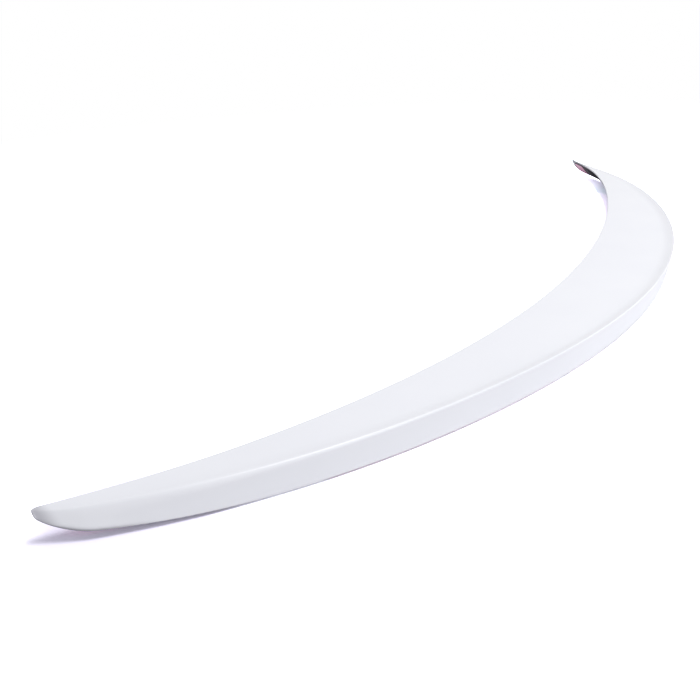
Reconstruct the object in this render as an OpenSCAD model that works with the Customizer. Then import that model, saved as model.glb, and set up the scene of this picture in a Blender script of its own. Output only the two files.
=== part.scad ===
// Boot-lid lip spoiler: a hollow moulded crescent that is bonded down with foam tape.
// X runs across the car, +Y points to the front of the car, +Z is up.
// The part stands on the release liners under its rear foot, at Z = 0.

/* [Panel] */
// Span from tip to tip
span = 1120; // [900:10:1300]
// Distance from the tips back to the lip at the middle
sweep = 246.6; // [190:1:290]
// Depth of the panel, front edge to lip, at the middle
chord = 89.3; // [75:1:110]
// Height of the lip at the middle
lip_h = 26.5; // [24:0.5:34]
// How much lower the lip runs out at the tips
lip_drop = 8.7; // [4:0.1:12]
// Height of the front edge at the middle
front_h = 17.5; // [14:0.5:21]
// How far the front edge climbs before the tips
front_rise = 18.3; // [10:0.1:22]
// How far the front edge comes down again at the tips
front_fall = 14; // [6:0.1:16]

/* [Lip] */
// Height that the lip kicks up above the panel
kick_h = 3; // [1:0.1:5]
// Width of the kicked-up band in front of the lip
kick_w = 15; // [8:0.5:22]
// Rounding of the lip along the middle
lip_round = 2.4; // [1:0.1:4]
// Rounding of the lip at the tips
lip_round_tip = 6; // [3:0.5:12]
// How far the rear face leans in under the lip at the middle
face_lean = 3.7; // [0:0.1:6]
// How far the rear face turns out again toward the tips
face_flare = 10.9; // [4:0.1:14]

/* [Edges] */
// Thickness of the front edge
edge_t = 1.8; // [1.4:0.1:3]
// Rounding under the rear face along the middle
foot_round = 1.2; // [0.6:0.1:2]
// Rounding under the rear face at the tips
foot_round_tip = 2.9; // [1:0.1:6]
// Length of the rounded tips
tip_len = 20; // [14:1:60]
// Radius of the front corner at each tip
corner_r = 6.4; // [3:0.2:10]
// How far the foot lifts at the tips
tip_lift = 2.5; // [0:0.1:5]

/* [Shell] */
// Wall of the moulding
wall = 2.8; // [2:0.1:4]
// Thickness of the foot under the rear wall
foot_t = 2.6; // [2:0.1:4]
// Solid length at each tip
solid_tip = 42; // [35:1:60]
// Number of ribs across the hollow
ribs = 10; // [8:1:16]
// Thickness of a rib at its free edge
rib_t = 2; // [1.4:0.1:3]
// Extra thickness on each side of a rib at its root
rib_draft = 0.4; // [0.2:0.1:1]

/* [Tape] */
// Width of the foam tape
tape_w = 9; // [6:0.5:12]
// Thickness of the foam tape
tape_t = 1.1; // [0.8:0.1:2]
// Thickness of the release liner
liner_t = 0.15; // [0.1:0.05:0.3]
// Bare margin beside the tape
margin = 1.5; // [0.8:0.1:3]
// Runs of tape along each edge
runs = 4; // [2:2:6]
// Gap between one run and the next
run_gap = 14; // [6:1:30]
// Distance from the middle to the outer end of the last run
tape_reach = 424; // [340:2:440]
// Bond line between the curved front land and its tape
bond = 0.25; // [0.2:0.05:0.4]
// Bond line between the twisted tip and its pad
tip_bond = 0.45; // [0.3:0.05:0.5]
// Length of the tape pad at each tip
pad_len = 24; // [14:1:28]
// Distance from each tip to its pad
pad_inset = 14; // [12:1:20]

/* [Hidden] */

half = span / 2;
foot_z = tape_t + liner_t;
land_w = tape_w + 2 * margin;
cut_depth = 8;
mouth_clear = 1;
lift_from = 0.8;
fade_len = 40;
panel_step = 20;
front_stretch = 1.01;
tip_steps = 12;
tip_turn = 78;
nose_steps = 2;
panel_cuts = 2;
kick_steps = 4;
lip_steps = 5;
foot_steps = 3;

// Plan curves: a parabola with a fuller end, 0 at the middle and 1 at the tips.
// Y runs from 0 at the tips here, and the placed model is centred by centre_y below.
// The front edge's curve is stretched, because the rounded corner takes its end away.
function bow(u, fourth, eighth) =
    (1 - fourth - eighth) * pow(u, 2) + fourth * pow(u, 4) + eighth * pow(u, 8);
function lip_y(u) = -sweep * (1 - bow(u, -0.05, 0.15));
function front_y(u) = -(sweep - chord) * (1 - bow(u * front_stretch, 0.15, 0.09));

// How much longer a width is when it is measured along Y than across the panel
function skew(u) =
    sqrt(1 + pow(sweep / half * (1.8 * u - 0.2 * pow(u, 3) + 1.2 * pow(u, 7)), 2));

function mix(a, b, t) = a + (b - a) * t;
function clip(t) = max(0, min(1, t));
function ease(t) = clip(t) * clip(t) * (3 - 2 * clip(t));
function toward(a, b, d) = a + (b - a) / max(norm(b - a), 0.001) * d;

// Share of the way that the rounded tip has closed at a distance x from the middle
function tip_close(x) =
    1 - sqrt(1 - pow(clip((x - half + tip_len) / tip_len), 2));
function corner_back(x) =
    corner_r * (1 - sqrt(1 - pow(clip((x - half + corner_r) / corner_r), 2)));

// A corner rounded by a curve that is tangent to both sides
function round_off(a, p, b, r, steps) =
    let (
        ra = min(r, 0.45 * norm(a - p)),
        rb = min(r, 0.45 * norm(b - p)),
        s = toward(p, a, ra),
        e = toward(p, b, rb)
    )
    [for (i = [0:steps]) let (t = i / steps) mix(mix(s, p, t), mix(p, e, t), t)];

// Where the line a-b meets the line c-d
function meet(a, b, c, d) =
    let (
        r = b - a,
        s = d - c,
        k = ((c - a)[0] * s[1] - (c - a)[1] * s[0]) / (r[0] * s[1] - r[1] * s[0])
    )
    a + r * k;

// Corner points of the section at x, each as [y, z].
// The heel is just past the inner edge of the foot, and from there the rib bottoms
// and the front land lie on one straight slope up to the front edge.
function nose(x) =
    let (u = x / half)
    [front_y(u) - corner_back(x), front_h + front_rise * pow(u, 2) - front_fall * pow(u, 4)];
function nose_low(x) = nose(x) - [0, edge_t];
function lip(x) =
    let (u = x / half)
    mix([lip_y(u), lip_h - lip_drop * (0.42 * pow(u, 2) + 0.58 * pow(u, 4))], nose(x), tip_close(x));
function foot(x) =
    let (u = x / half, lift = tip_lift * pow(clip((u - lift_from) / (1 - lift_from)), 2))
    mix([lip_y(u) + face_lean - face_flare * pow(u, 2), foot_z + lift], nose_low(x), tip_close(x));
function kick_foot(x) =
    let (u = x / half, low = lip(x) - [0, kick_h * (1 - pow(u, 4))])
    mix(low, nose(x), min(0.4, kick_w * skew(u) / max(norm(nose(x) - low), 1)));
function foot_inner(x) =
    let (w = nose(x)[0] - foot(x)[0], u = x / half)
    foot(x) + [min(0.4 * w, mix(land_w, wall + margin, fade(x)) * skew(u)), 0];
function heel(x) = foot_inner(x) + [min(mouth_clear, 0.1 * (nose(x)[0] - foot(x)[0])), 0];
function land(x, extra) =
    let (n = nose_low(x), h = heel(x), full = mix(land_w, wall, fade(x)) * skew(x / half))
    toward(n, h, min(full, 0.4 * norm(h - n)) + extra * norm(h - foot_inner(x)));

// The tape lands narrow to bare edges past the last run of tape
function fade(x) = ease((x - tape_reach - margin) / fade_len);

// Closed outline of the outside at x
function outline(x) =
    let (
        u = x / half,
        f = nose(x), k = kick_foot(x), p = lip(x), b = foot(x),
        n = nose_low(x), h = heel(x),
        lip_r = mix(lip_round, lip_round_tip, pow(u, 8)) * skew(u),
        foot_r = mix(foot_round, foot_round_tip, pow(u, 16)) * skew(u),
        edge = round_off(n, f, k, edge_t * 0.45, nose_steps),
        kick = round_off(f, k, p, kick_w * 0.45 * skew(u), kick_steps)
    )
    concat(
        edge,
        [for (i = [1:panel_cuts]) mix(edge[nose_steps], kick[0], i / (panel_cuts + 1))],
        kick,
        round_off(k, p, b, lip_r, lip_steps),
        round_off(p, b, h, foot_r, foot_steps),
        [h, land(x, 1), n]
    );

// Outline of the hollow at x, open at the bottom between the foot and the front land
function hollow(x) =
    let (
        u = x / half,
        down = [0, wall], in = [wall * skew(u), 0],
        f = nose(x) - down, k = kick_foot(x) - down, p = lip(x) - down,
        pw = lip(x) + in, bw = foot(x) + in,
        i = foot_inner(x) + [0, foot_t], l = land(x, 0),
        crown = meet(k, p, pw, bw),
        level = [0, i[1]],
        base = meet(pw, bw, level, level + [1, 0]),
        roof = meet(f, k, l, l + [0, 1])
    )
    concat(
        [i, i - [0, foot_t + cut_depth], l - [0, cut_depth], [l[0], max(roof[1], l[1] + 0.3)]],
        [k],
        round_off(k, crown, base, wall, 2),
        [base]
    );

// Solid through a list of outlines, each set at its own x.
// Each four-sided patch is split along its shorter diagonal, so both ends come out alike.
function at(x, outline_yz) = [for (q = outline_yz) [x, q[0] - centre_y, q[1]]];
function patch(a, b, c, d, pts) =
    norm(pts[a] - pts[c]) < norm(pts[b] - pts[d]) + 0.001
        ? [[a, b, c], [a, c, d]]
        : [[a, b, d], [b, c, d]];
module loft(rings) {
    n = len(rings[0]);
    last = (len(rings) - 1) * n;
    pts = [for (r = rings) for (q = r) q];
    sides = [for (i = [0:len(rings) - 2], j = [0:n - 1]) let (a = i * n + j, b = i * n + (j + 1) % n)
        each patch(a, a + n, b + n, b, pts)];
    first_cap = [for (j = [1:n - 2]) [0, j, j + 1]];
    last_cap = [for (j = [1:n - 2]) [last, last + j + 1, last + j]];
    polyhedron(points = pts, faces = concat(sides, first_cap, last_cap));
}

// Places along one half, from the middle out to the tip
panel_count = ceil((half - tip_len) / panel_step);
half_places = concat(
    [for (i = [0:panel_count]) (half - tip_len) * i / panel_count],
    [for (i = [1:tip_steps]) half - tip_len + tip_len * sin(tip_turn * i / tip_steps)]
);
places = concat(
    [for (i = [len(half_places) - 1:-1:1]) -half_places[i]],
    half_places
);

// Middle of the depth, between the back of the lip and the front corners of the tips
front_most = max([for (x = half_places) nose(x)[0]]);
rear_most = min([for (q = outline(0)) q[0]]);
centre_y = (front_most + rear_most) / 2;
function between(x0, x1) =
    concat([x0], [for (x = places) if (x > x0 + 2 && x < x1 - 2) x], [x1]);

// Upright slab that leaves a rib across the hollow, thicker at its root under the panel
hollow_end = half - solid_tip;
rib_pitch = 2 * hollow_end / (ribs + 1);
module rib(x) {
    hull() {
        translate([x, 0, -cut_depth]) cube([rib_t, 2 * sweep, 1], center = true);
        translate([x, 0, lip_h]) cube([rib_t + 2 * rib_draft, 2 * sweep, 1], center = true);
    }
}

// The hollow is open below and runs almost from tip to tip, but for the ribs
hollow_steps = ceil(2 * hollow_end / panel_step);
module bays() {
    difference() {
        loft([for (j = [0:hollow_steps]) let (x = mix(-hollow_end, hollow_end, j / hollow_steps))
            at(x, hollow(abs(x)))]);
        for (i = [1:ribs]) rib(-hollow_end + i * rib_pitch);
    }
}

module spoiler_shell() {
    color([0.93, 0.93, 0.95])
    difference() {
        loft([for (x = places) at(x, outline(abs(x)))]);
        bays();
    }
}

// Ends of run number i, counted from the left
run_pitch = (2 * tape_reach + run_gap) / runs;
function run_start(i) = -tape_reach + (i - 1) * run_pitch;
function run_end(i) = run_start(i) + run_pitch - run_gap;

// Strip under the flat foot, from the height low up to high
module rear_strip(i, low, high) {
    xs = between(run_start(i), run_end(i));
    translate([0, -centre_y, low])
    linear_extrude(height = high - low)
    polygon(concat(
        [for (x = xs) [x, foot(abs(x))[0] + margin * skew(abs(x) / half)]],
        [for (j = [len(xs) - 1:-1:0]) let (x = xs[j], k = skew(abs(x) / half))
            [x, foot(abs(x))[0] + (margin + tape_w) * k]]
    ));
}

// Outline of a strip on the slope under the front edge, between two distances down from it
function strip_outline(x, from, to, near, far) =
    let (
        n = nose_low(x), h = heel(x),
        t = (h - n) / norm(h - n), out = [-t[1], t[0]]
    )
    [n + t * from + out * near, n + t * to + out * near,
     n + t * to + out * far, n + t * from + out * far];
module front_strip(i, near, far) {
    loft([for (x = between(run_start(i), run_end(i))) let (k = skew(abs(x) / half))
        at(x, strip_outline(abs(x), margin * k, (margin + tape_w) * k, near, far))]);
}

// Pad on the solid tip, on the side that side = -1 or 1 gives
module tip_pad(side, near, far) {
    x0 = half - pad_inset - pad_len;
    x1 = half - pad_inset;
    run = [for (x = between(x0, x1)) x];
    xs = side > 0 ? run : [for (j = [len(run) - 1:-1:0]) -run[j]];
    loft([for (x = xs) let (
            across = norm(heel(abs(x)) - nose_low(abs(x)))
        )
        at(x, strip_outline(abs(x), 0.12 * across, 0.88 * across, near, far))]);
}

module rear_tape(i) {
    color([0.16, 0.16, 0.17]) rear_strip(i, liner_t, foot_z);
}
module rear_liner(i) {
    color([0.78, 0.16, 0.24]) rear_strip(i, 0, liner_t);
}
module front_tape(i) {
    color([0.16, 0.16, 0.17]) front_strip(i, bond, bond + tape_t);
}
module front_liner(i) {
    color([0.78, 0.16, 0.24]) front_strip(i, bond + tape_t, bond + tape_t + liner_t);
}
module tip_tape(side) {
    color([0.16, 0.16, 0.17]) tip_pad(side, tip_bond, tip_bond + tape_t);
}
module tip_liner(side) {
    color([0.78, 0.16, 0.24]) tip_pad(side, tip_bond + tape_t, tip_bond + tape_t + liner_t);
}

spoiler_shell();
rear_tape(1);  // rear_tape_1
rear_tape(2);  // rear_tape_2
rear_tape(3);  // rear_tape_3
rear_tape(4);  // rear_tape_4
rear_liner(1);  // rear_liner_1
rear_liner(2);  // rear_liner_2
rear_liner(3);  // rear_liner_3
rear_liner(4);  // rear_liner_4
front_tape(1);  // front_tape_1
front_tape(2);  // front_tape_2
front_tape(3);  // front_tape_3
front_tape(4);  // front_tape_4
front_liner(1);  // front_liner_1
front_liner(2);  // front_liner_2
front_liner(3);  // front_liner_3
front_liner(4);  // front_liner_4
tip_tape(-1);  // left_tip_tape
tip_tape(1);  // right_tip_tape
tip_liner(-1);  // left_tip_liner
tip_liner(1);  // right_tip_liner
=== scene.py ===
"""Looks of a boot-lid lip spoiler: a primed moulding, its foam tape and its release liners."""

from __future__ import annotations

import logging
import math
from collections.abc import Callable, Sequence
from dataclasses import dataclass, field
from enum import Enum
from functools import partial

import bpy
import numpy as np
from bpy.types import Material, Node, NodeSocket, NodeTree, NodesModifier, Object
from mathutils import Matrix, Vector

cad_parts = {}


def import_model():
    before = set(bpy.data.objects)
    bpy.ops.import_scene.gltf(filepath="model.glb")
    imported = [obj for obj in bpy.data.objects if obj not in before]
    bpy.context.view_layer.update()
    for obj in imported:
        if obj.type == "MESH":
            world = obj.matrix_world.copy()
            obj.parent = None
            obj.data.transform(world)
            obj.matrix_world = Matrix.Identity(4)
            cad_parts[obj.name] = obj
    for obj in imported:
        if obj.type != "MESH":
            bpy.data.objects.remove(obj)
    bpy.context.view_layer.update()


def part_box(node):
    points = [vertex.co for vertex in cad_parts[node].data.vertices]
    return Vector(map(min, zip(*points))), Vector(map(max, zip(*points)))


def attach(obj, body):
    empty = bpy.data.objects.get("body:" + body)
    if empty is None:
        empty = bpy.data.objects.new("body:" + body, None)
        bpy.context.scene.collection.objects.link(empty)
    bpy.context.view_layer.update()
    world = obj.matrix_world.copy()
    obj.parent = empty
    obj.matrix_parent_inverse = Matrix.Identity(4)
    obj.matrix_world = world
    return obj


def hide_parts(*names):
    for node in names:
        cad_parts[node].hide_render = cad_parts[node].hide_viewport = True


Pair = tuple[float, float]
Place = tuple[float, float, float]
Colour = tuple[float, float, float, float]

LOG = logging.getLogger("lip_spoiler")
MM = 0.001
BODY = "root"
WHITE = (1.0, 1.0, 1.0, 1.0)
# Largest share of a side that a rounded corner takes
CORNER_SHARE = 0.45


# Small helpers


def linear(hex_colour: str) -> Colour:
    """Turns an sRGB hex colour into linear light.

    Args:
        hex_colour: Colour as "#RRGGBB".

    Returns:
        Linear red, green, blue and an alpha of 1.
    """
    channels = [int(hex_colour[i : i + 2], 16) / 255 for i in (1, 3, 5)]
    red, green, blue = (
        c / 12.92 if c <= 0.04045 else ((c + 0.055) / 1.055) ** 2.4 for c in channels
    )
    return red, green, blue, 1.0


def wire(tree: NodeTree, node: Node, inputs: dict[str | int, object]) -> None:
    """Sets a node's inputs.

    Args:
        tree: Node tree that holds the node.
        node: The node.
        inputs: Input name or number to a value, or to what feeds it: an output socket, or a
            node for its first output.
    """
    for key, value in inputs.items():
        if isinstance(value, Node):
            value = value.outputs[0]
        if isinstance(value, NodeSocket):
            tree.links.new(value, node.inputs[key])
        else:
            node.inputs[key].default_value = value


def add_node(
    tree: NodeTree, kind: str, inputs: dict[str | int, object] | None = None, **settings: object
) -> Node:
    """Adds a node to a tree, with its settings, values and links.

    Args:
        tree: Node tree that gets the node.
        kind: Blender's name for the node type.
        inputs: Values and links of its inputs, as `wire` takes them.
        settings: Properties of the node.

    Returns:
        The new node.
    """
    node = tree.nodes.new(kind)
    for name, value in settings.items():
        setattr(node, name, value)
    wire(tree, node, inputs or {})
    return node


def new_mesh_object(
    name: str,
    points: np.ndarray,
    faces: Sequence[Sequence[int]] = (),
    edges: Sequence[Sequence[int]] = (),
) -> Object:
    """Makes a mesh object at the origin.

    Args:
        name: Name of the object.
        points: Vertices in millimetres.
        faces: Vertex numbers of each face, counter-clockwise from outside.
        edges: Vertex numbers of each loose edge.

    Returns:
        The linked object.
    """
    mesh = bpy.data.meshes.new(name)
    mesh.from_pydata((points * MM).tolist(), [list(e) for e in edges], [list(f) for f in faces])
    mesh.update()
    made = bpy.data.objects.new(name, mesh)
    bpy.context.collection.objects.link(made)
    return made


def shade_by_angle(made: Object, degrees: float) -> None:
    """Shades an object smooth, with edges sharper than an angle kept crisp.

    Args:
        made: Object to shade.
        degrees: Angle between faces from which an edge is crisp.
    """
    mesh = made.data
    mesh.polygons.foreach_set("use_smooth", [True] * len(mesh.polygons))
    mesh.set_sharp_from_angle(angle=math.radians(degrees))
    mesh.update()


def set_input(modifier: NodesModifier, name: str, value: object) -> None:
    """Sets one named input of a Geometry Nodes modifier by its socket's identifier.

    Args:
        modifier: Geometry Nodes modifier.
        name: Name of the input in the tree's interface.
        value: Value for it.
    """
    sockets = modifier.node_group.interface.items_tree
    found = next(s for s in sockets if s.name == name and s.in_out == "INPUT")
    modifier[found.identifier] = value


def run_tree(made: Object, tree: NodeTree, inputs: dict[str, object]) -> None:
    """Runs a Geometry Nodes tree on an object and keeps the result as its plain mesh.

    Args:
        made: Object whose mesh goes in and is replaced.
        tree: Geometry Nodes tree.
        inputs: Named inputs of the tree.
    """
    modifier = made.modifiers.new(tree.name, "NODES")
    modifier.node_group = tree
    for name, value in inputs.items():
        set_input(modifier, name, value)
    evaluated = made.evaluated_get(bpy.context.evaluated_depsgraph_get())
    result = bpy.data.meshes.new_from_object(evaluated)
    made.modifiers.remove(modifier)
    made.data = result


def start_tree(name: str, inputs: Sequence[tuple[str, str]]) -> tuple[NodeTree, Node]:
    """Starts a Geometry Nodes tree with named inputs and one geometry output.

    Args:
        name: Name of the tree.
        inputs: Name and socket type of each input after the geometry.

    Returns:
        The tree and its input node.
    """
    tree = bpy.data.node_groups.new(name, "GeometryNodeTree")
    tree.interface.new_socket("Geometry", in_out="INPUT", socket_type="NodeSocketGeometry")
    for socket, kind in inputs:
        tree.interface.new_socket(socket, in_out="INPUT", socket_type=kind)
    tree.interface.new_socket("Geometry", in_out="OUTPUT", socket_type="NodeSocketGeometry")
    return tree, add_node(tree, "NodeGroupInput")


# Form of the lip, in millimetres: the solids' rules, with edges and tips trimmed for looks


def mix(a: np.ndarray | float, b: np.ndarray | float, t: float) -> np.ndarray | float:
    """Value at share t of the way from a to b."""
    return a + (b - a) * t


def clip(t: float) -> float:
    """Value limited to 0 to 1."""
    return min(1.0, max(0.0, t))


def ease(t: float) -> float:
    """Smooth step from 0 to 1."""
    t = clip(t)
    return t * t * (3 - 2 * t)


def direction(a: np.ndarray, b: np.ndarray) -> np.ndarray:
    """Unit vector from a to b, or nothing where they meet."""
    return (b - a) / max(float(np.linalg.norm(b - a)), 1e-6)


def toward(a: np.ndarray, b: np.ndarray, distance: float) -> np.ndarray:
    """Point at a distance from a on the way to b."""
    return a + direction(a, b) * distance


def round_off(
    before: np.ndarray, corner: np.ndarray, after: np.ndarray, radius: float, steps: int
) -> list[np.ndarray]:
    """Rounds a corner with a curve that is tangent to both of its sides.

    Args:
        before: Point before the corner.
        corner: The corner.
        after: Point after the corner.
        radius: Length cut from each side, limited to CORNER_SHARE of the side.
        steps: Number of stretches in the curve.

    Returns:
        Points of the curve.
    """
    start, end = (
        toward(corner, side, min(radius, CORNER_SHARE * float(np.linalg.norm(side - corner))))
        for side in (before, after)
    )
    shares = [i / steps for i in range(steps + 1)]
    return [mix(mix(start, corner, t), mix(corner, end, t), t) for t in shares]


def between(a: np.ndarray, b: np.ndarray, cuts: int) -> list[np.ndarray]:
    """Evenly spaced points between two others, without those two."""
    return [mix(a, b, i / (cuts + 1)) for i in range(1, cuts + 1)]


def meet(a: np.ndarray, b: np.ndarray, c: np.ndarray, d: np.ndarray) -> np.ndarray:
    """Point where the line a-b meets the line c-d."""
    along, across = b - a, d - c
    gap = c - a
    share = (gap[0] * across[1] - gap[1] * across[0]) / (
        along[0] * across[1] - along[1] * across[0]
    )
    return a + along * share


@dataclass(frozen=True)
class Cuts:
    """Numbers of stretches or points over each part of a section, for a smooth skin."""

    edge: int = 6
    panel: int = 12
    kick: int = 12
    step: int = 2
    crest: int = 14
    face: int = 5
    heel: int = 7
    foot: int = 3
    mouth: int = 6
    land: int = 2
    under: int = 4
    roof: int = 8
    inner_step: int = 1
    inner_crest: int = 6
    inner_face: int = 3


@dataclass
class LipForm:
    """Sizes of the lip and the rules for its section at a distance x from the middle.

    A section point is (y, z), and u is x as a share of the way to a tip. Y runs from 0 at
    the tips, and `shift` centres it as the solids are centred. The kick, the rounded edges
    and the tips' undersides differ from the solids by a few millimetres at most.
    """

    cuts: Cuts = Cuts()

    # Plan. A bow holds the shares of u**4 and u**8 in a plan curve; the rest is u**2
    span: float = 1120.0
    sweep: float = 246.6
    chord: float = 89.3
    rear_bow: Pair = (-0.05, 0.15)
    front_bow: Pair = (0.15, 0.09)
    front_stretch: float = 1.01

    # Lip and kick. Of the lip's drop to the tips, early_drop goes with u**2, the rest with u**4
    lip_height: float = 26.5
    lip_drop: float = 8.7
    early_drop: float = 0.42
    lip_round: float = 2.0
    lip_round_tip: float = 8.0
    kick_height: float = 3.0
    kick_width: float = 9.0

    # Front edge
    front_height: float = 17.5
    front_rise: float = 18.3
    front_fall: float = 14.0
    edge_thickness: float = 1.8
    edge_round: float = 0.5

    # Rear face and foot
    face_lean: float = 3.7
    face_flare: float = 10.9
    foot_round: float = 0.7
    foot_round_tip: float = 5.0

    # Tips. tip_turn is how far, in degrees, the sections follow the tip's quarter circle
    tip_length: float = 20.0
    tip_turn: float = 87.5
    corner_radius: float = 6.4
    tip_lift: float = 5.5
    lift_from: float = 0.84
    tip_flare: float = 4.0

    # Hollow. Its cutter reaches down past the foot and the front land
    wall: float = 2.8
    foot_thickness: float = 2.6
    solid_tip: float = 42.0
    mouth_clear: float = 1.0
    cutter_depth: float = 8.0
    least_roof: float = 0.3

    # Tape and its lands, which narrow over fade_length past the last tape
    tape_width: float = 9.0
    tape_thickness: float = 1.1
    liner_thickness: float = 0.15
    margin: float = 1.5
    tape_reach: float = 424.0
    fade_length: float = 40.0

    # Largest shares of the section's depth that the kick, a land and the mouth's edge take
    kick_share: float = 0.4
    land_share: float = 0.4
    mouth_share: float = 0.1

    shift: float = 0.0

    @property
    def half(self) -> float:
        """Distance from the middle to a tip."""
        return self.span / 2

    @property
    def foot_height(self) -> float:
        """Height of the underside of the foot, on its tape and liner."""
        return self.tape_thickness + self.liner_thickness

    @property
    def land_width(self) -> float:
        """Width of a taped land."""
        return self.tape_width + 2 * self.margin

    @property
    def hollow_end(self) -> float:
        """Distance from the middle to the ends of the hollow."""
        return self.half - self.solid_tip

    @staticmethod
    def bow(u: float, fourth: float, eighth: float) -> float:
        """Plan curve: 0 at the middle and 1 at the tips."""
        return (1 - fourth - eighth) * u**2 + fourth * u**4 + eighth * u**8

    def rear(self, u: float) -> float:
        """Place of the lip's edge along Y."""
        return -self.sweep * (1 - self.bow(u, *self.rear_bow))

    def skew(self, x: float) -> float:
        """How much longer a width is along Y than across the panel."""
        u = x / self.half
        fourth, eighth = self.rear_bow
        slope = 2 * (1 - fourth - eighth) * u + 4 * fourth * u**3 + 8 * eighth * u**7
        return math.hypot(1, self.sweep / self.half * slope)

    def tip_close(self, x: float) -> float:
        """Share of the way that the rounded tip has closed."""
        return 1 - math.sqrt(1 - clip((x - self.half + self.tip_length) / self.tip_length) ** 2)

    def fade(self, x: float) -> float:
        """Share of the way that the tape lands have narrowed past the last tape."""
        return ease((x - self.tape_reach - self.margin) / self.fade_length)

    def nose(self, x: float) -> np.ndarray:
        """Top of the front edge."""
        u = x / self.half
        share = clip((x - self.half + self.corner_radius) / self.corner_radius)
        back = self.corner_radius * (1 - math.sqrt(1 - share**2))
        reach = self.bow(u * self.front_stretch, *self.front_bow)
        y = -(self.sweep - self.chord) * (1 - reach) - back
        return np.array([y, self.front_height + self.front_rise * u**2 - self.front_fall * u**4])

    def nose_low(self, x: float) -> np.ndarray:
        """Underside of the front edge."""
        return self.nose(x) - [0, self.edge_thickness]

    def lip(self, x: float) -> np.ndarray:
        """Corner of the lip, before rounding."""
        u = x / self.half
        z = self.lip_height - self.lip_drop * mix(u**4, u**2, self.early_drop)
        return mix(np.array([self.rear(u), z]), self.nose(x), self.tip_close(x))

    def foot(self, x: float) -> np.ndarray:
        """Rear lower corner of the foot, before rounding."""
        u = x / self.half
        rise = clip((u - self.lift_from) / (1 - self.lift_from)) ** 2
        lean = self.face_lean - self.face_flare * u**2 - self.tip_flare * rise
        corner = np.array([self.rear(u) + lean, self.foot_height + self.tip_lift * rise])
        return mix(corner, self.nose_low(x), self.tip_close(x))

    def kick_foot(self, x: float) -> np.ndarray:
        """Where the panel starts to kick up to the lip."""
        u = x / self.half
        low = self.lip(x) - [0, self.kick_height * (1 - u**4)]
        depth = max(float(np.linalg.norm(self.nose(x) - low)), 1.0)
        share = min(self.kick_share, self.kick_width * self.skew(x) / depth)
        return mix(low, self.nose(x), share)

    def foot_inner(self, x: float) -> np.ndarray:
        """Inner edge of the foot, at the hollow."""
        width = float(self.nose(x)[0] - self.foot(x)[0])
        own = mix(self.land_width, self.wall + self.margin, self.fade(x)) * self.skew(x)
        return self.foot(x) + [min(self.land_share * width, own), 0]

    def heel(self, x: float) -> np.ndarray:
        """Start of the slope that the rib bottoms and the front land lie on."""
        width = float(self.nose(x)[0] - self.foot(x)[0])
        return self.foot_inner(x) + [min(self.mouth_clear, self.mouth_share * width), 0]

    def land(self, x: float, past_edge: float) -> np.ndarray:
        """Inner edge of the front land, or a point past it toward the heel."""
        low, heel = self.nose_low(x), self.heel(x)
        full = mix(self.land_width, self.wall, self.fade(x)) * self.skew(x)
        width = min(full, self.land_share * float(np.linalg.norm(heel - low)))
        step = past_edge * float(np.linalg.norm(heel - self.foot_inner(x)))
        return toward(low, heel, width + step)

    def outline(self, x: float) -> np.ndarray:
        """Closed outline of the outside, finely cut, from the front edge over the lip."""
        u = x / self.half
        nose, kick, lip, foot = self.nose(x), self.kick_foot(x), self.lip(x), self.foot(x)
        low, heel, stop = self.nose_low(x), self.heel(x), self.land(x, 1)
        cuts, skew = self.cuts, self.skew(x)
        lip_radius = mix(self.lip_round, self.lip_round_tip, u**8) * skew
        foot_radius = mix(self.foot_round, self.foot_round_tip, u**16) * skew
        edge = round_off(low, nose, kick, self.edge_thickness * CORNER_SHARE, cuts.edge)
        kick_up = round_off(nose, kick, lip, self.kick_width * CORNER_SHARE * skew, cuts.kick)
        crest = round_off(kick, lip, foot, lip_radius, cuts.crest)
        heel_arc = round_off(lip, foot, heel, foot_radius, cuts.heel)
        under = round_off(stop, low, nose, self.edge_round, cuts.under)
        points = [
            *edge,
            *between(edge[-1], kick_up[0], cuts.panel),
            *kick_up,
            *between(kick_up[-1], crest[0], cuts.step),
            *crest,
            *between(crest[-1], heel_arc[0], cuts.face),
            *heel_arc,
            *between(heel_arc[-1], heel, cuts.foot),
            heel,
            *between(heel, stop, cuts.mouth),
            stop,
            *between(stop, under[0], cuts.land),
            *under,
        ]
        return np.array(points)

    def hollow_outline(self, x: float) -> np.ndarray:
        """Outline of the hollow, which runs down past the foot and the front land."""
        cuts = self.cuts
        down = np.array([0, self.wall])
        inward = np.array([self.wall * self.skew(x), 0])
        nose, kick, lip = self.nose(x) - down, self.kick_foot(x) - down, self.lip(x) - down
        wall_top, wall_foot = self.lip(x) + inward, self.foot(x) + inward
        inner = self.foot_inner(x) + [0, self.foot_thickness]
        land = self.land(x, 0)
        crown = meet(kick, lip, wall_top, wall_foot)
        base = meet(wall_top, wall_foot, np.array([0, inner[1]]), np.array([1, inner[1]]))
        roof = meet(nose, kick, land, land + [0, 1])
        front_top = np.array([land[0], max(roof[1], land[1] + self.least_roof)])
        arc = round_off(kick, crown, base, self.wall, cuts.inner_crest)
        points = [
            inner,
            inner - [0, self.foot_thickness + self.cutter_depth],
            land - [0, self.cutter_depth],
            front_top,
            *between(front_top, kick, cuts.roof),
            kick,
            *between(kick, arc[0], cuts.inner_step),
            *arc,
            *between(arc[-1], base, cuts.inner_face),
            base,
        ]
        return np.array(points)

    def stations(self, last: float, pitch: float, tip_steps: int = 0) -> list[float]:
        """Places for sections from one end of the part to the other.

        Args:
            last: Last place on each side, before any steps of the rounded tip.
            pitch: Longest distance between two places.
            tip_steps: Steps over the rounded tip.

        Returns:
            Places in order, symmetric about the middle.
        """
        count = math.ceil(last / pitch)
        side = [last * i / count for i in range(1, count + 1)]
        turn = [math.radians(self.tip_turn * i / tip_steps) for i in range(1, tip_steps + 1)]
        side += [last + self.tip_length * math.sin(t) for t in turn]
        return [-x for x in reversed(side)] + [0.0] + side

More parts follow.
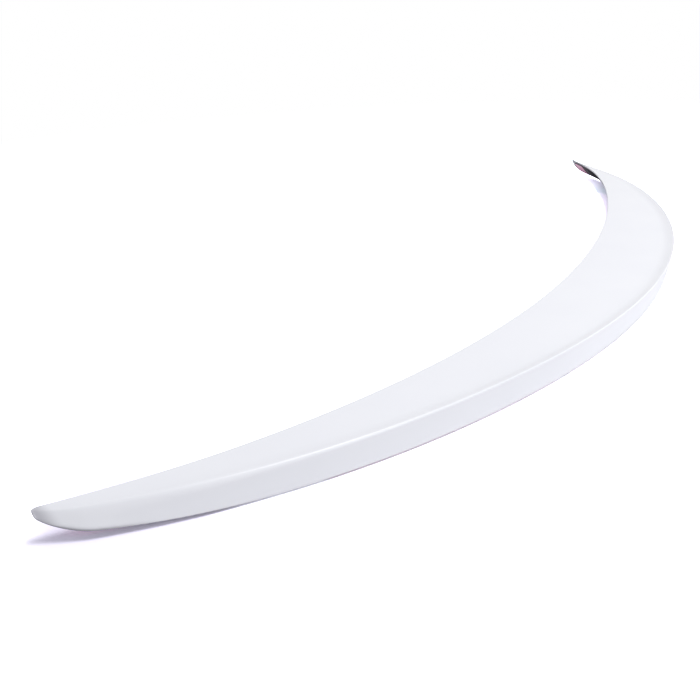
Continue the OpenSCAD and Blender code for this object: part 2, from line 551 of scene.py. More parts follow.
    def ring(self, outline: Callable[[float], np.ndarray], x: float) -> np.ndarray:
        """Outline at x as points in space."""
        flat = outline(abs(x))
        return np.column_stack([np.full(len(flat), x), flat[:, 0] + self.shift, flat[:, 1]])

    def solid(
        self, name: str, outline: Callable[[float], np.ndarray], places: Sequence[float]
    ) -> Object:
        """Closed solid through the outlines at a list of places.

        Args:
            name: Name of the object.
            outline: Rule for the outline at a distance from the middle.
            places: Places of the sections, from -X to +X.

        Returns:
            The object.
        """
        rings = [self.ring(outline, x) for x in places]
        count = len(rings[0])
        faces = [
            (a + j, a + (j + 1) % count, b + (j + 1) % count, b + j)
            for a, b in ((i * count, (i + 1) * count) for i in range(len(rings) - 1))
            for j in range(count)
        ]
        last = (len(rings) - 1) * count
        faces.append(tuple(reversed(range(count))))
        faces.append(tuple(range(last, last + count)))
        return new_mesh_object(name, np.vstack(rings), faces)


# Finishes


def principled(name: str) -> tuple[Material, NodeTree, Node]:
    """Starts a material with one Principled shader.

    Args:
        name: Name of the material.

    Returns:
        The material, its node tree and the shader.
    """
    material = bpy.data.materials.new(name)
    material.use_nodes = True
    tree = material.node_tree
    shader = tree.nodes["Principled BSDF"]
    return material, tree, shader


@dataclass(frozen=True)
class PrimedAbs:
    """ABS injection moulding, sprayed with white primer and flatted.

    The eye sees an even, slightly cool white with a satin sheen and a faint orange peel. Where the
    surface faces down, a dark grey comes in: partly thin cover where the spray only reached past
    the edges, partly painted shade. The rolled rim and the very end of the tips get the same grey
    as painted shade. Lengths are in millimetres, and those of the rim are from the middle.
    """

    white: str = "#EBECEE"
    shade: str = "#E6E7EA"
    # Dark grey: thin cover underneath, and painted shade there and on the tips' rim and end
    thin_cover_and_shade_grey: str = "#77757F"
    # Roughness across the cloud. Below about 0.28 a render shows wrinkles that aren't there
    sheen: Pair = (0.29, 0.34)
    cloud_mm: float = 60.0
    speckle_mm: float = 1.6
    peel_mm: float = 3.0
    grain_mm: float = 0.9
    relief_mm: float = 0.02
    # Most share of the dark grey: thin cover and painted shade underneath, painted shade on the rim
    # and at the very end
    under_thin_and_shade: float = 0.9
    rim_painted_shade: float = 0.8
    end_painted_shade: float = 0.62
    # Where the painted shade of the rim and the end starts, and where it is full
    rim: Pair = (510.0, 550.0)
    end: Pair = (550.5, 559.0)
    # The same as slopes: upward part of the surface's normal, underneath and on the rim
    under_slope: Pair = (0.0, -0.35)
    rim_slope: Pair = (0.4, -0.1)

    def thin_cover_and_shade(self, tree: NodeTree, place: NodeSocket) -> NodeSocket:
        """Adds the nodes that say where the dark grey goes: thin cover and painted shade on
        down-facing surfaces, painted shade on the tips' rim and end.

        Args:
            tree: Node tree of the material.
            place: Place on the piece.

        Returns:
            Share of dark grey: thin cover and painted shade.
        """
        add = partial(add_node, tree)
        speckle = add(
            "ShaderNodeTexNoise",
            {"Vector": place, "Scale": 1 / (self.speckle_mm * MM), "Detail": 4.0, "Roughness": 0.7},
        )
        normal = add("ShaderNodeNewGeometry").outputs["Normal"]
        upright = add("ShaderNodeSeparateXYZ", {0: normal}).outputs["Z"]
        reach = add(
            "ShaderNodeMath",
            {0: speckle.outputs["Fac"], 1: 0.5, 2: upright},
            operation="MULTIPLY_ADD",
        )
        across = add("ShaderNodeSeparateXYZ", {0: place}).outputs["X"]
        outward = add("ShaderNodeMath", {0: across}, operation="ABSOLUTE")
        # Down-facing surfaces: thin cover and painted shade. The tips' rolled rim and very end:
        # painted shade.
        under, at_tip, rolled, end = (
            add(
                "ShaderNodeMapRange",
                {"Value": value, 1: first * unit, 2: last * unit, 3: 0.0, 4: most},
                interpolation_type="SMOOTHSTEP",
            )
            for value, (first, last), unit, most in (
                (reach, self.under_slope, 1.0, self.under_thin_and_shade),
                (outward, self.rim, MM, self.rim_painted_shade),
                (upright, self.rim_slope, 1.0, 1.0),
                (outward, self.end, MM, self.end_painted_shade),
            )
        )
        rim = add("ShaderNodeMath", {0: at_tip, 1: rolled}, operation="MULTIPLY")
        tip = add("ShaderNodeMath", {0: end, 1: rim}, operation="MAXIMUM")
        thin_cover_and_shade = add("ShaderNodeMath", {0: under, 1: tip}, operation="MAXIMUM")
        return thin_cover_and_shade.outputs[0]

    def material(self) -> Material:
        """Builds the material."""
        material, tree, shader = principled("primed_abs")
        add = partial(add_node, tree)
        place = add("ShaderNodeTexCoord").outputs["Object"]
        cloud, peel, grain = (
            add(
                "ShaderNodeTexNoise", {"Vector": place, "Scale": 1 / (size * MM), "Detail": detail}
            ).outputs["Fac"]
            for size, detail in ((self.cloud_mm, 3.0), (self.peel_mm, 1.0), (self.grain_mm, 2.0))
        )
        cover = add(
            "ShaderNodeMix",
            {0: cloud, 6: linear(self.white), 7: linear(self.shade)},
            data_type="RGBA",
        )
        # Mixes in the dark grey of thin cover and painted shade
        coat = add(
            "ShaderNodeMix",
            {0: self.thin_cover_and_shade(tree, place), 6: cover.outputs[2], 7: linear(self.thin_cover_and_shade_grey)},
            data_type="RGBA",
        )
        relief = add("ShaderNodeMath", {0: grain, 1: 0.3, 2: peel}, operation="MULTIPLY_ADD")
        bump = add(
            "ShaderNodeBump", {"Strength": 0.4, "Distance": self.relief_mm * MM, "Height": relief}
        )
        sheen = add(
            "ShaderNodeMapRange",
            {"Value": cloud, 1: 0.3, 2: 0.7, 3: self.sheen[0], 4: self.sheen[1]},
        )
        look = {"Base Color": coat.outputs[2], "Roughness": sheen, "Normal": bump}
        wire(tree, shader, look | {"IOR": 1.5})
        return material


@dataclass(frozen=True)
class BareAbs:
    """Black ABS as it leaves the mould, with a spark-eroded texture.

    The eye sees a deep grey-black with a soft, fine sparkle and faint flow clouds.
    """

    black: str = "#2B292E"
    dusty: str = "#46434B"
    roughness: float = 0.5
    flow_mm: float = 35.0
    texture_mm: float = 1.2
    relief_mm: float = 0.05

    def material(self) -> Material:
        """Builds the material."""
        material, tree, shader = principled("bare_black_abs")
        add = partial(add_node, tree)
        place = add("ShaderNodeTexCoord").outputs["Object"]
        flow = add(
            "ShaderNodeTexNoise",
            {"Vector": place, "Scale": 1 / (self.flow_mm * MM), "Detail": 4.0, "Roughness": 0.6},
        )
        tone = add(
            "ShaderNodeMix",
            {0: flow.outputs["Fac"], 6: linear(self.black), 7: linear(self.dusty)},
            data_type="RGBA",
        )
        spark = add(
            "ShaderNodeTexNoise",
            {"Vector": place, "Scale": 1 / (self.texture_mm * MM), "Detail": 3.0},
        )
        bump = add(
            "ShaderNodeBump",
            {"Strength": 0.6, "Distance": self.relief_mm * MM, "Height": spark.outputs["Fac"]},
        )
        look = {"Base Color": tone.outputs[2], "Roughness": self.roughness, "Normal": bump}
        wire(tree, shader, look | {"IOR": 1.53})
        return material


@dataclass(frozen=True)
class AcrylicFoam:
    """Closed-cell acrylic foam tape.

    The eye sees a matt dark grey whose cut edges show fine cells.
    """

    grey: str = "#4A494E"
    cell: str = "#343338"
    roughness: float = 0.9
    cell_mm: float = 0.8
    relief_mm: float = 0.12

    def material(self) -> Material:
        """Builds the material."""
        material, tree, shader = principled("acrylic_foam")
        add = partial(add_node, tree)
        place = add("ShaderNodeTexCoord").outputs["Object"]
        cells = add(
            "ShaderNodeTexVoronoi", {"Vector": place, "Scale": 1 / (self.cell_mm * MM)}
        ).outputs["Distance"]
        tone = add(
            "ShaderNodeMix",
            {0: cells, 6: linear(self.cell), 7: linear(self.grey)},
            data_type="RGBA",
        )
        bump = add(
            "ShaderNodeBump", {"Strength": 0.7, "Distance": self.relief_mm * MM, "Height": cells}
        )
        look = {"Base Color": tone.outputs[2], "Roughness": self.roughness, "Normal": bump}
        wire(tree, shader, look)
        return material


@dataclass(frozen=True)
class LinerFilm:
    """Polyethylene release liner, embossed with a fine diamond grid.

    The eye sees a pinkish red film with a soft gloss that the embossing breaks up.
    """

    red: str = "#F6C4DA"
    deep: str = "#E8AAC6"
    roughness: float = 0.3
    diamond_mm: float = 2.4
    relief_mm: float = 0.05
    # Scale of a wave texture that has one wave to a unit of length
    wave_scale: float = 0.314

    def material(self) -> Material:
        """Builds the material."""
        material, tree, shader = principled("release_liner_film")
        add = partial(add_node, tree)
        place = add("ShaderNodeTexCoord").outputs["Object"]
        ridges = []
        for turn in (45.0, -45.0):
            turned = add(
                "ShaderNodeMapping", {"Vector": place, "Rotation": (0.0, 0.0, math.radians(turn))}
            )
            wave = add(
                "ShaderNodeTexWave",
                {"Vector": turned, "Scale": self.wave_scale / (self.diamond_mm * MM)},
            )
            ridges.append(wave.outputs["Fac"])
        grid = add("ShaderNodeMath", {0: ridges[0], 1: ridges[1]}, operation="MAXIMUM")
        tone = add(
            "ShaderNodeMix", {0: grid, 6: linear(self.red), 7: linear(self.deep)}, data_type="RGBA"
        )
        bump = add(
            "ShaderNodeBump", {"Strength": 0.5, "Distance": self.relief_mm * MM, "Height": grid}
        )
        look = {"Base Color": tone.outputs[2], "Roughness": self.roughness, "Normal": bump}
        wire(tree, shader, look | {"IOR": 1.51})
        return material


@dataclass
class Finishes:
    """The finishes that the pieces share."""

    primed: Material = field(default_factory=lambda: PrimedAbs().material())
    bare: Material = field(default_factory=lambda: BareAbs().material())
    foam: Material = field(default_factory=lambda: AcrylicFoam().material())
    film: Material = field(default_factory=lambda: LinerFilm().material())


# Pieces


@dataclass
class Moulding:
    """The hollow moulding: a skin with a raised lip, open below, with ribs across it."""

    form: LipForm
    finishes: Finishes
    ribs: int = 10
    rib_thickness: float = 2.0
    rib_draft: float = 0.4
    # The ribs' slabs reach past the part, and the hollow trims them
    rib_bottom: float = -9.0
    rib_height: float = 36.0
    section_pitch: float = 4.0
    tip_steps: int = 20
    crisp_angle: float = 32.0
    inside_mark: str = "inside"

    def ribbing_tree(self) -> NodeTree:
        """Tree that cuts a ribbed hollow out of the skin.

        Returns:
            The tree. It marks the cut faces by the attribute that the hollow carries.
        """
        lengths = (
            "Rib Pitch", "Rib Thickness", "Root Thickness", "Rib Depth", "Rib Bottom", "Rib Height"
        )
        tree, given = start_tree(
            "ribbed_hollow",
            [
                ("Hollow", "NodeSocketObject"),
                ("Rib Count", "NodeSocketInt"),
                *((name, "NodeSocketFloat") for name in lengths),
                ("Outside", "NodeSocketMaterial"),
                ("Inside", "NodeSocketMaterial"),
            ],
        )
        add = partial(add_node, tree)
        take = given.outputs
        hollow = add("GeometryNodeObjectInfo", {"Object": take["Hollow"]})
        size = add(
            "ShaderNodeCombineXYZ",
            {"X": take["Rib Thickness"], "Y": take["Rib Depth"], "Z": take["Rib Height"]},
        )
        slab = add(
            "GeometryNodeMeshCube",
            {"Size": size, "Vertices X": 2, "Vertices Y": 2, "Vertices Z": 2},
        )
        position = add("GeometryNodeInputPosition")
        corner = add("ShaderNodeSeparateXYZ", {0: position}).outputs
        at_root = add("ShaderNodeMath", {0: corner["Z"], 1: 0.0}, operation="GREATER_THAN")
        root_share = add(
            "ShaderNodeMath",
            {0: take["Root Thickness"], 1: take["Rib Thickness"]},
            operation="DIVIDE",
        )
        widening = add("ShaderNodeMix", {0: at_root, 2: 1.0, 3: root_share})
        flared = add("ShaderNodeMath", {0: corner["X"], 1: widening}, operation="MULTIPLY")
        middle = add(
            "ShaderNodeMath",
            {0: take["Rib Height"], 1: 0.5, 2: take["Rib Bottom"]},
            operation="MULTIPLY_ADD",
        )
        up = add("ShaderNodeMath", {0: corner["Z"], 1: middle}, operation="ADD")
        moved = add("ShaderNodeCombineXYZ", {"X": flared, "Y": corner["Y"], "Z": up})
        rib = add("GeometryNodeSetPosition", {"Geometry": slab.outputs["Mesh"], "Position": moved})
        steps = add("ShaderNodeMath", {0: take["Rib Count"], 1: 1.0}, operation="SUBTRACT")
        reach = add("ShaderNodeMath", {0: steps, 1: take["Rib Pitch"]}, operation="MULTIPLY")
        first = add("ShaderNodeMath", {0: reach, 1: -0.5}, operation="MULTIPLY")
        start = add("ShaderNodeCombineXYZ", {"X": first})
        step = add("ShaderNodeCombineXYZ", {"X": take["Rib Pitch"]})
        row = add(
            "GeometryNodeMeshLine",
            {"Count": take["Rib Count"], "Start Location": start, "Offset": step},
        )
        ribs = add("GeometryNodeInstanceOnPoints", {"Points": row, "Instance": rib})
        all_ribs = add("GeometryNodeRealizeInstances", {"Geometry": ribs})
        rib_mark = add(
            "GeometryNodeStoreNamedAttribute",
            {"Geometry": all_ribs, "Name": self.inside_mark, "Value": 1.0},
            data_type="FLOAT",
            domain="FACE",
        )
        bays = add(
            "GeometryNodeMeshBoolean",
            {"Mesh 1": hollow.outputs["Geometry"], "Mesh 2": rib_mark},
            operation="DIFFERENCE",
            solver="EXACT",
        )
        cut = add(
            "GeometryNodeMeshBoolean",
            {"Mesh 1": take["Geometry"], "Mesh 2": bays.outputs["Mesh"]},
            operation="DIFFERENCE",
            solver="EXACT",
        )
        whole = add("GeometryNodeRealizeInstances", {"Geometry": cut.outputs["Mesh"]})
        painted = add("GeometryNodeSetMaterial", {"Geometry": whole, "Material": take["Outside"]})
        mark = add("GeometryNodeInputNamedAttribute", {"Name": self.inside_mark}, data_type="FLOAT")
        inside = add(
            "FunctionNodeCompare",
            {"A": mark.outputs["Attribute"], "B": 0.5},
            data_type="FLOAT",
            operation="GREATER_THAN",
        )
        dressed = add(
            "GeometryNodeSetMaterial",
            {
                "Geometry": painted,
                "Selection": inside.outputs["Result"],
                "Material": take["Inside"],
            },
        )
        add("NodeGroupOutput", {"Geometry": dressed})
        return tree

    def build(self) -> Object:
        """Builds, cuts and dresses the moulding.

        Returns:
            The finished piece.
        """
        form = self.form
        skin_places = form.stations(form.half - form.tip_length, self.section_pitch, self.tip_steps)
        piece = form.solid("moulded_lip", form.outline, skin_places)
        hollow = form.solid(
            "hollow_cutter", form.hollow_outline, form.stations(form.hollow_end, self.section_pitch)
        )
        primed, bare = self.finishes.primed, self.finishes.bare
        for made, value, finish in ((piece, 0.0, primed), (hollow, 1.0, bare)):
            made.data.materials.append(finish)
            mark = made.data.attributes.new(self.inside_mark, "FLOAT", "FACE")
            mark.data.foreach_set("value", [value] * len(made.data.polygons))
        run_tree(
            piece,
            self.ribbing_tree(),
            {
                "Hollow": hollow,
                "Rib Count": self.ribs,
                "Rib Pitch": 2 * form.hollow_end / (self.ribs + 1) * MM,
                "Rib Thickness": self.rib_thickness * MM,
                "Root Thickness": (self.rib_thickness + 2 * self.rib_draft) * MM,
                "Rib Depth": 2 * form.sweep * MM,
                "Rib Bottom": self.rib_bottom * MM,
                "Rib Height": self.rib_height * MM,
                "Outside": primed,
                "Inside": bare,
            },
        )
        bpy.data.objects.remove(hollow)
        shade_by_angle(piece, self.crisp_angle)
        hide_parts("spoiler_shell")
        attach(piece, BODY)
        return piece


class Edge(Enum):
    """Edge of the part that a run of tape follows."""

    REAR = "rear"
    FRONT = "front"


class Layer(Enum):
    """Layer of the tape."""

    FOAM = "tape"
    LINER = "liner"


class Side(Enum):
    """End of the part."""

    LEFT = -1
    RIGHT = 1


@dataclass
class Taped:
    """What the runs of tape and the tip pads share.

    `bond` is the gap that the solids leave above the foam, and `contact` is what the scene
    leaves of it. A cut edge is rounded by `corner`, or by a share of a thinner layer.
    """

    form: LipForm
    finishes: Finishes
    bond: float = 0.0
    contact: float = 0.05
    corner: float = 0.2
    corner_share: float = 0.3
    crisp_angle: float = 40.0

    def finish(self, layer: Layer) -> Material:
        """Finish of a layer."""
        return self.finishes.foam if layer is Layer.FOAM else self.finishes.film

    def depths(self, layer: Layer, bond: float, contact: float) -> Pair:
        """Depths of a layer below the moulding.

        Args:
            layer: Foam or liner.
            bond: Gap above the foam in the solids.
            contact: Gap above the foam in the scene.

        Returns:
            Depths of its upper and lower faces.
        """
        foam_foot = bond + self.form.tape_thickness
        if layer is Layer.FOAM:
            return contact, foam_foot
        return foam_foot, foam_foot + self.form.liner_thickness

    def corner_radius(self, thickness: float) -> float:
        """Radius of a layer's cut edges."""
        return min(self.corner, thickness * self.corner_share)

    def hand_over(self, piece: Object, layer: Layer, node: str) -> None:
        """Shades a strip or pad and puts it in its node's place.

        Args:
            piece: The strip or pad.
            layer: Foam or liner; not used.
            node: Node that it replaces.
        """
        shade_by_angle(piece, self.crisp_angle)
        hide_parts(node)
        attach(piece, BODY)


@dataclass
class TapeRuns(Taped):
    """Runs of foam tape and liner that follow the rear foot and the front land."""

    bond: float = 0.25
    rear_contact: float = 0.02
    runs: int = 4
    gap: float = 14.0
    path_pitch: float = 6.0
    aim_step: float = 0.5
    corner_points: int = 3

    def sweep_tree(self) -> NodeTree:
        """Tree that sweeps a flat, slightly rounded strip along a path.

        Returns:
            The tree. The path's "facing" attribute says where the strip's flat side looks.
        """
        tree, given = start_tree(
            "tape_sweep",
            [
                ("Width", "NodeSocketFloat"),
                ("Thickness", "NodeSocketFloat"),
                ("Corner Radius", "NodeSocketFloat"),
                ("Corner Points", "NodeSocketInt"),
                ("Finish", "NodeSocketMaterial"),
            ],
        )
        add = partial(add_node, tree)
        take = given.outputs
        path = add("GeometryNodeMeshToCurve", {"Mesh": take["Geometry"]})
        facing = add(
            "GeometryNodeInputNamedAttribute", {"Name": "facing"}, data_type="FLOAT_VECTOR"
        )
        turned = add(
            "GeometryNodeSetCurveNormal",
            {"Curve": path, "Normal": facing.outputs["Attribute"]},
            mode="FREE",
        )
        strip = add(
            "GeometryNodeCurvePrimitiveQuadrilateral",
            {"Width": take["Thickness"], "Height": take["Width"]},
        )
        rounded = add(
            "GeometryNodeFilletCurve",
            {"Curve": strip, "Count": take["Corner Points"], "Radius": take["Corner Radius"]},
            mode="POLY",
        )
        swept = add(
            "GeometryNodeCurveToMesh",
            {"Curve": turned, "Profile Curve": rounded, "Fill Caps": True},
        )
        whole = add("GeometryNodeRealizeInstances", {"Geometry": swept})
        dressed = add("GeometryNodeSetMaterial", {"Geometry": whole, "Material": take["Finish"]})
        add("NodeGroupOutput", {"Geometry": dressed})
        return tree

    def ends(self, number: int) -> Pair:
        """Ends of a run along X, counted from 1 at the left."""
        pitch = (2 * self.form.tape_reach + self.gap) / self.runs
        start = -self.form.tape_reach + (number - 1) * pitch
        return start, start + pitch - self.gap

    def surface(self, edge: Edge, x: float) -> tuple[np.ndarray, np.ndarray]:
        """Middle of the taped land at x, and the way across it, in space.

        Args:
            edge: Edge that the tape follows.
            x: Place across the car.

        Returns:
            The point on the moulding's surface and the direction across the tape.
        """
        form, out = self.form, abs(x)
        inset = (form.margin + form.tape_width / 2) * form.skew(out)
        if edge is Edge.REAR:
            flat = form.foot(out) + [inset, 0]
            across = np.array([1.0, 0.0])
        else:
            low, heel = form.nose_low(out), form.heel(out)
            across = direction(low, heel)
            flat = low + across * inset
        place = np.array([x, flat[0] + form.shift, flat[1]])
        return place, np.array([0.0, across[0], across[1]])

    def path(self, edge: Edge, number: int, depth: float) -> tuple[np.ndarray, np.ndarray]:
        """Path of a strip at a depth below the land, with the way that its flat side faces.

        Args:
            edge: Edge that the tape follows.
            number: Number of the run.
            depth: Distance of the strip's middle below the land.

        Returns:
            Points of the path and the facing direction at each.
        """
        start, end = self.ends(number)
        count = math.ceil((end - start) / self.path_pitch)
        points, facings = [], []
        for x in (mix(start, end, i / count) for i in range(count + 1)):
            here, across = self.surface(edge, x)
            behind, ahead = (self.surface(edge, x + d)[0] for d in (-self.aim_step, self.aim_step))
            facing = np.cross(ahead - behind, across)
            facing *= -math.copysign(1, facing[2]) / np.linalg.norm(facing)
            points.append(here + facing * depth)
            facings.append(facing)
        return np.array(points), np.array(facings)

    def strip(self, tree: NodeTree, edge: Edge, layer: Layer, number: int) -> Object:
        """One strip of foam or liner.

        Args:
            tree: Tree that sweeps the strip.
            edge: Edge that it follows.
            layer: Foam or liner.
            number: Number of the run.

        Returns:
            The finished piece.
        """
        if edge is Edge.FRONT:
            top, low = self.depths(layer, self.bond, self.contact)
        else:
            top, low = self.depths(layer, 0.0, self.rear_contact)
        points, facings = self.path(edge, number, (top + low) / 2)
        name = f"{edge.value}_{layer.value}"
        links = [(i, i + 1) for i in range(len(points) - 1)]
        piece = new_mesh_object(f"{name}_run_{number}", points, edges=links)
        facing = piece.data.attributes.new("facing", "FLOAT_VECTOR", "POINT")
        facing.data.foreach_set("vector", facings.ravel())
        run_tree(
            piece,
            tree,
            {
                "Width": self.form.tape_width * MM,
                "Thickness": (low - top) * MM,
                "Corner Radius": self.corner_radius(low - top) * MM,
                "Corner Points": self.corner_points,
                "Finish": self.finish(layer),
            },
        )
        self.hand_over(piece, layer, f"{name}_{number}")
        return piece

    def build(self) -> list[Object]:
        """Builds every run of both layers along both edges."""
        tree = self.sweep_tree()
        return [
            self.strip(tree, edge, layer, number)
            for edge in Edge
            for layer in Layer
            for number in range(1, self.runs + 1)
        ]


@dataclass
class TipPads(Taped):
    """Short pads of foam tape and liner under the solid tips."""

    bond: float = 0.45
    length: float = 24.0
    inset: float = 14.0
    bare_share: float = 0.12
    corner_steps: int = 2
    pitch: float = 1.5

    def outline(self, x: float, near: float, far: float) -> np.ndarray:
        """Rounded outline of the pad's section at x, between two depths."""
        low, heel = self.form.nose_low(x), self.form.heel(x)
        start, end = mix(low, heel, self.bare_share), mix(heel, low, self.bare_share)
        along = direction(low, heel)
        out = np.array([-along[1], along[0]])
        corners = [start + out * near, end + out * near, end + out * far, start + out * far]
        radius = self.corner_radius(far - near)
        ring = []
        for i, corner in enumerate(corners):
            after = corners[(i + 1) % len(corners)]
            ring += round_off(corners[i - 1], corner, after, radius, self.corner_steps)
        return np.array(ring)

    def pad(self, side: Side, layer: Layer) -> Object:
        """One layer of one pad.

        Args:
            side: End of the part.
            layer: Foam or liner.

        Returns:
            The finished piece.
        """
        near, far = self.depths(layer, self.bond, self.contact)
        end = self.form.half - self.inset
        count = math.ceil(self.length / self.pitch)
        places = [end - self.length * (1 - i / count) for i in range(count + 1)]
        if side is Side.LEFT:
            places = [-x for x in reversed(places)]
        name = f"{side.name.lower()}_tip_{layer.value}"
        piece = self.form.solid(f"{name}_pad", lambda x: self.outline(x, near, far), places)
        piece.data.materials.append(self.finish(layer))
        self.hand_over(piece, layer, name)
        return piece

    def build(self) -> list[Object]:
        """Builds both layers of both pads."""
        return [self.pad(side, layer) for side in Side for layer in Layer]


# Studio


@dataclass(frozen=True)
class StudioPaper:
    """Matt paper that fades to plain white away from the part.

    The camera alone sees two diffuse layers, whose colours above 1 turn open floor white and leave
    the shadow. The first layer's violet tint shows only in shadow, as a painted shadow colour. The
    second layer's tone changes with place and paints the shadow's strength: it keeps the shadow
    dark round the near tip and lightens it on the far side and round the far tip. Other rays see
    plain paper.
    """

    paper: str = "#F2F2F4"
    # Linear light, because a hex colour stops at 1
    catch: Colour = (0.92, 0.82, 1.0, 1.0)
    # Tones of the second layer, which paint the shadow's strength: a low tone keeps it dark, a high
    # one fades it
    near_tip_tone: Colour = (0.2, 0.26, 0.24, 1.0)
    open_tone: Colour = (2.0, 2.1, 2.1, 1.0)
    far_tone: Colour = (2.2, 2.75, 2.8, 1.0)
    far_tip_tone: Colour = (4.7, 4.75, 5.3, 1.0)
    # Middle of a tip, and where each tone and the white starts and is full, in millimetres:
    # from the near tip, along X, from the far tip and from the middle of the part
    tip: Pair = (530.0, 80.0)
    near_tip_edge: Pair = (45.0, 100.0)
    far_start: Pair = (100.0, 450.0)
    far_tip_edge: Pair = (110.0, 45.0)
    white_out: Pair = (800.0, 1600.0)

    def tone(self, tree: NodeTree, place: NodeSocket) -> NodeSocket:
        """Adds the nodes for the second layer's tone, which paints the shadow darker round the near
        tip and lighter on the far side and round the far tip.

        Args:
            tree: Node tree of the material.
            place: Place on the floor.

        Returns:
            The colour.
        """
        add = partial(add_node, tree)
        across = add("ShaderNodeSeparateXYZ", {0: place}).outputs["X"]
        from_near, from_far = (
            add(
                "ShaderNodeVectorMath",
                {0: place, 1: (side.value * self.tip[0] * MM, self.tip[1] * MM, 0.0)},
                operation="DISTANCE",
            ).outputs["Value"]
            for side in Side
        )
        tone: Colour | NodeSocket = self.near_tip_tone
        for value, (first, last), shade in (
            (from_near, self.near_tip_edge, self.open_tone),
            (across, self.far_start, self.far_tone),
            (from_far, self.far_tip_edge, self.far_tip_tone),
        ):
            share = add(
                "ShaderNodeMapRange",
                {"Value": value, 1: first * MM, 2: last * MM, 3: 0.0, 4: 1.0},
                interpolation_type="SMOOTHSTEP",
            )
            tone = add("ShaderNodeMix", {0: share, 6: tone, 7: shade}, data_type="RGBA").outputs[2]
        return tone

    def material(self) -> Material:
        """Builds the material."""
        material = bpy.data.materials.new("studio_paper")
        material.use_nodes = True
        tree = material.node_tree
        tree.nodes.clear()
        add = partial(add_node, tree)
        place = add("ShaderNodeTexCoord").outputs["Object"]
        paper = add("ShaderNodeBsdfDiffuse", {"Color": linear(self.paper)})
        # First layer: violet tint, a painted shadow colour. Second layer: tone by place, a painted
        # shadow strength
        catch = add("ShaderNodeBsdfDiffuse", {"Color": self.catch})
        lift = add("ShaderNodeBsdfDiffuse", {"Color": self.tone(tree, place)})
        seen = add("ShaderNodeAddShader", {0: catch, 1: lift})
        white = add("ShaderNodeEmission", {"Color": WHITE, "Strength": 1.0})
        reach = add("ShaderNodeVectorMath", {0: place}, operation="LENGTH")
        first, last = self.white_out
        away = add(
            "ShaderNodeMapRange",
            {"Value": reach.outputs["Value"], 1: first * MM, 2: last * MM, 3: 0.0, 4: 1.0},
            interpolation_type="SMOOTHSTEP",
        )
        faded = add("ShaderNodeMixShader", {0: away, 1: seen, 2: white})
        to_camera = add("ShaderNodeLightPath").outputs["Is Camera Ray"]
        shown = add("ShaderNodeMixShader", {0: to_camera, 1: paper, 2: faded})
        unseen = add("ShaderNodeBsdfTransparent")
        below = add("ShaderNodeNewGeometry").outputs["Backfacing"]
        one_sided = add("ShaderNodeMixShader", {0: below, 1: shown, 2: unseen})
        add("ShaderNodeOutputMaterial", {"Surface": one_sided})
        return material


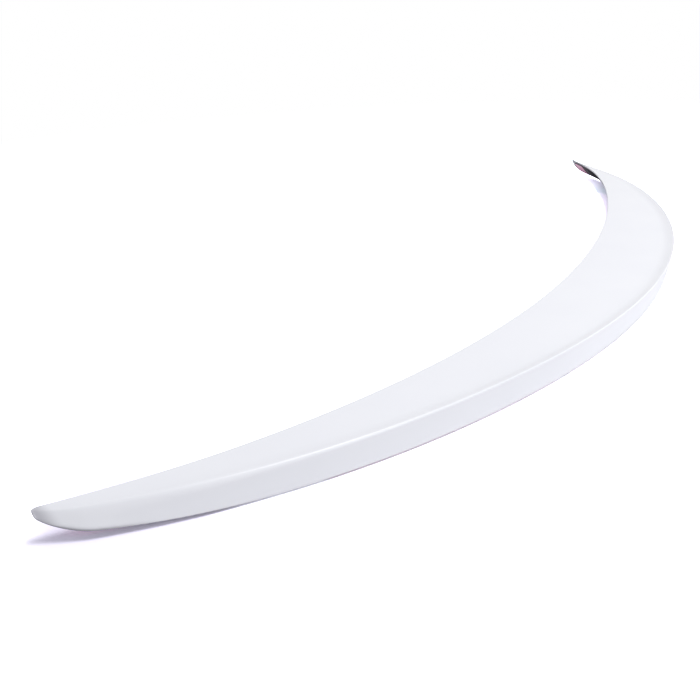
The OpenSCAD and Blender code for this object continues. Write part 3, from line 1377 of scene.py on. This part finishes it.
@dataclass
class Studio:
    """Pale floor, soft light and the photograph's view.

    The camera's values come from its fit to the photograph: angles in degrees, lengths in
    millimetres, and `aim` as the place in the picture of a point at `target_y` on the floor.
    """

    form: LipForm
    azimuth: float = -58.33
    elevation: float = 24.70
    roll: float = -2.43
    distance: float = 816.88
    field_of_view: float = 50.03
    aim: Pair = (538.26, 279.33)
    target_y: float = -120.0
    picture: float = 700.0
    sensor: float = 36.0
    clip_range: Pair = (0.01, 100.0)
    floor_size: float = 12000.0
    floor_height: float = -0.1
    dome: str = "#F8F7FF"
    dome_strength: float = 0.42
    lamp: str = "#FBFCFE"

    def camera(self) -> Object:
        """Camera at the photograph's viewing angle."""
        a, e, roll = (math.radians(v) for v in (self.azimuth, self.elevation, self.roll))
        back = Vector((math.sin(a) * math.cos(e), -math.cos(a) * math.cos(e), math.sin(e)))
        right = (-back).cross(Vector((0, 0, 1))).normalized()
        up = right.cross(-back)
        right, up = (
            right * math.cos(roll) + up * math.sin(roll),
            up * math.cos(roll) - right * math.sin(roll),
        )
        middle = self.picture / 2
        focal = middle / math.tan(math.radians(self.field_of_view / 2))
        target = Vector((0, self.target_y + self.form.shift, 0))
        place = (
            target
            + back * self.distance
            - right * (self.aim[0] - middle) / focal * self.distance
            - up * (middle - self.aim[1]) / focal * self.distance
        ) * MM
        data = bpy.data.cameras.new("camera")
        data.sensor_width = self.sensor
        data.lens = self.sensor / 2 / math.tan(math.radians(self.field_of_view / 2))
        data.clip_start, data.clip_end = self.clip_range
        made = bpy.data.objects.new("camera", data)
        bpy.context.collection.objects.link(made)
        turn = Matrix((right, up, back)).transposed()
        made.matrix_world = Matrix.Translation(place) @ turn.to_4x4()
        bpy.context.scene.camera = made
        return made

    def floor(self) -> Object:
        """Floor just under the liners."""
        side = self.floor_size / 2
        turns = ((-1, -1), (1, -1), (1, 1), (-1, 1))
        corners = np.array([[x * side, y * side, self.floor_height] for x, y in turns])
        made = new_mesh_object("floor", corners, [(0, 1, 2, 3)])
        made.data.materials.append(StudioPaper().material())
        return made

    def world(self) -> None:
        """Soft, slightly cool dome that the camera sees as plain white."""
        world = bpy.data.worlds.new("studio_dome")
        world.use_nodes = True
        tree = world.node_tree
        tree.nodes.clear()
        add = partial(add_node, tree)
        dome = add(
            "ShaderNodeBackground", {"Color": linear(self.dome), "Strength": self.dome_strength}
        )
        white = add("ShaderNodeBackground", {"Color": WHITE, "Strength": 1.0})
        rays = add("ShaderNodeLightPath")
        shown = rays.outputs["Is Camera Ray"]
        for kind in ("Is Glossy Ray", "Is Transmission Ray"):
            sockets = {0: shown, 1: rays.outputs[kind]}
            shown = add("ShaderNodeMath", sockets, operation="MAXIMUM")
        seen = add("ShaderNodeMixShader", {0: shown, 1: dome, 2: white})
        add("ShaderNodeOutputWorld", {"Surface": seen})
        bpy.context.scene.world = world

    def softbox(self, name: str, place: Place, aim: Place, size: float, power: float) -> Object:
        """Square softbox.

        Args:
            name: Name of the lamp.
            place: Where it stands, in metres.
            aim: Point that it faces.
            size: Side of the square.
            power: Power in watts.

        Returns:
            The lamp.
        """
        data = bpy.data.lights.new(name, "AREA")
        data.shape = "SQUARE"
        data.size = size
        data.energy = power
        data.color = linear(self.lamp)[:3]
        made = bpy.data.objects.new(name, data)
        bpy.context.collection.objects.link(made)
        made.location = place
        made.rotation_euler = (Vector(aim) - Vector(place)).to_track_quat("-Z", "Y").to_euler()
        return made

    def build(self) -> None:
        """Sets up the floor, the lights and the camera."""
        self.camera()
        self.floor()
        self.world()
        self.softbox(
            "key_softbox", place=(0.03, -0.4, 1.7), aim=(0.05, -0.05, 0.0), size=0.7, power=20.3
        )
        self.softbox(
            "side_softbox", place=(-0.25, -1.6, 0.6), aim=(-0.15, -0.05, 0.0), size=0.8, power=8.0
        )
        bpy.context.scene.view_settings.view_transform = "Standard"


def main() -> None:
    """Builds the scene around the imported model."""
    logging.basicConfig(level=logging.INFO, format="%(message)s")
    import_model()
    form = LipForm()
    rear_most = float(form.outline(0.0)[:, 0].min())
    form.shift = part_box("spoiler_shell")[0][1] / MM - rear_most
    finishes = Finishes()
    Studio(form).build()
    pieces = [Moulding(form, finishes).build()]
    pieces += TapeRuns(form, finishes).build()
    pieces += TipPads(form, finishes).build()
    for piece in pieces:
        LOG.info("%s: %d faces", piece.name, len(piece.data.polygons))


if __name__ == "__main__":
    main()
